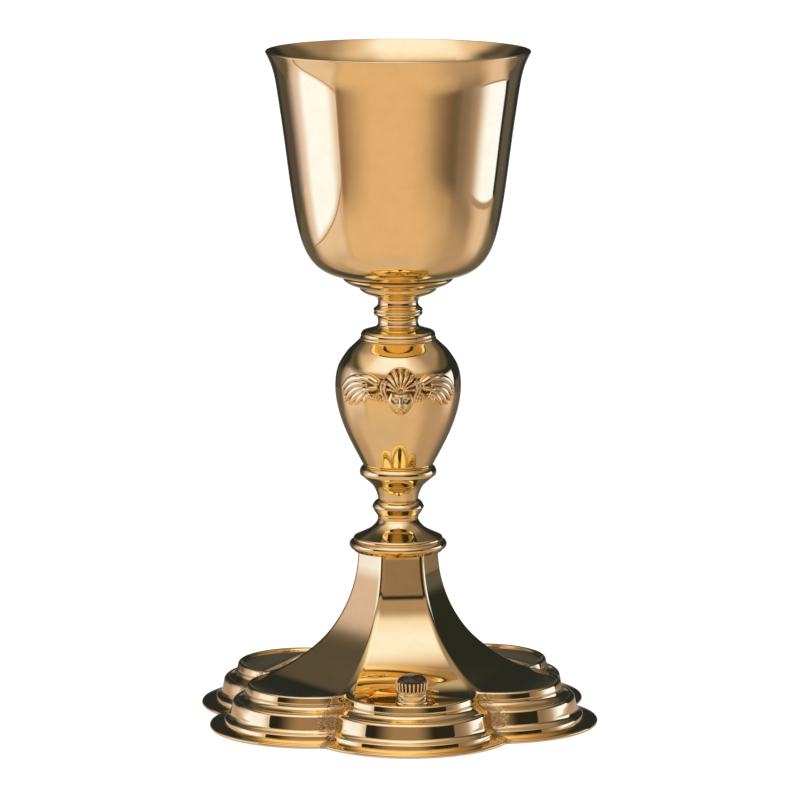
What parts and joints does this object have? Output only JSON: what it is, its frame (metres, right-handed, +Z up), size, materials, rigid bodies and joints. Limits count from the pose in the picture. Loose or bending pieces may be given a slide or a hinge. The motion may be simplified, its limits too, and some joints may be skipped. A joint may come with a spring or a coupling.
{
  "type": "communion chalice",
  "caption": "Gilt footed cup with a flared lip, a turned stem with a pear-shaped node and winged heads, and a stepped lobed foot with a set stone.",
  "frame": {"origin": "on the stem's axis in the resting plane, under the middle of the foot", "axes": "+Z up the stem, -Y towards the front, where the stone is set, +X to the right seen from the front"},
  "size_m": [0.1422, 0.1526, 0.245],
  "materials": {
    "gilt": "mirror-polished gold plate on brass",
    "raw_brass": "machined, dull",
    "plated_steel": "zinc-plated fasteners",
    "garnet": "polished near-black dark red cabochon"
  },
  "bodies": {
    "stand": {"cup_seat": "gilt", "upper_spool": "gilt", "node_cap": "gilt", "node_shell": "gilt", "node_spacer": "raw_brass", "node_base_ring": "gilt", "lower_spool": "gilt", "foot_collar": "gilt", "collar_ring": "gilt", "foot_top": "gilt", "foot_step_band": "gilt", "foot_flange": "gilt", "foot_bush": "raw_brass", "stone_collet": "gilt", "stone_gallery": "gilt", "cabochon": "garnet", "stone_stud": "plated_steel", "stone_nut": "plated_steel", "cherub_front": "gilt", "cherub_back": "gilt", "cherub_pins": "plated_steel", "cherub_nuts": "plated_steel"},
    "cup_and_rod": {"cup": "gilt", "cup_boss": "raw_brass", "tie_rod": "plated_steel"},
    "washer": {"clamp_washer": "plated_steel"},
    "nut": {"clamp_nut": "plated_steel"}
  },
  "joints": [
    {"name": "cup_lift", "type": "slide", "parent": "stand", "child": "cup_and_rod", "axis": [0, 0, 1], "range_m": [0, 0.125]},
    {"name": "nut_travel", "type": "slide", "parent": "stand", "child": "washer", "axis": [0, 0, -1], "range_m": [0, 0.012]},
    {"name": "nut_turn", "type": "hinge", "parent": "washer", "child": "nut", "pos_m": [0, 0, 0.05], "axis": [0, 0, -1], "range_deg": [0, 4356]}
  ],
  "couplings": [
    {"joint": "nut_turn", "follows": "nut_travel", "rad_per_m": 6283.2}
  ]
}
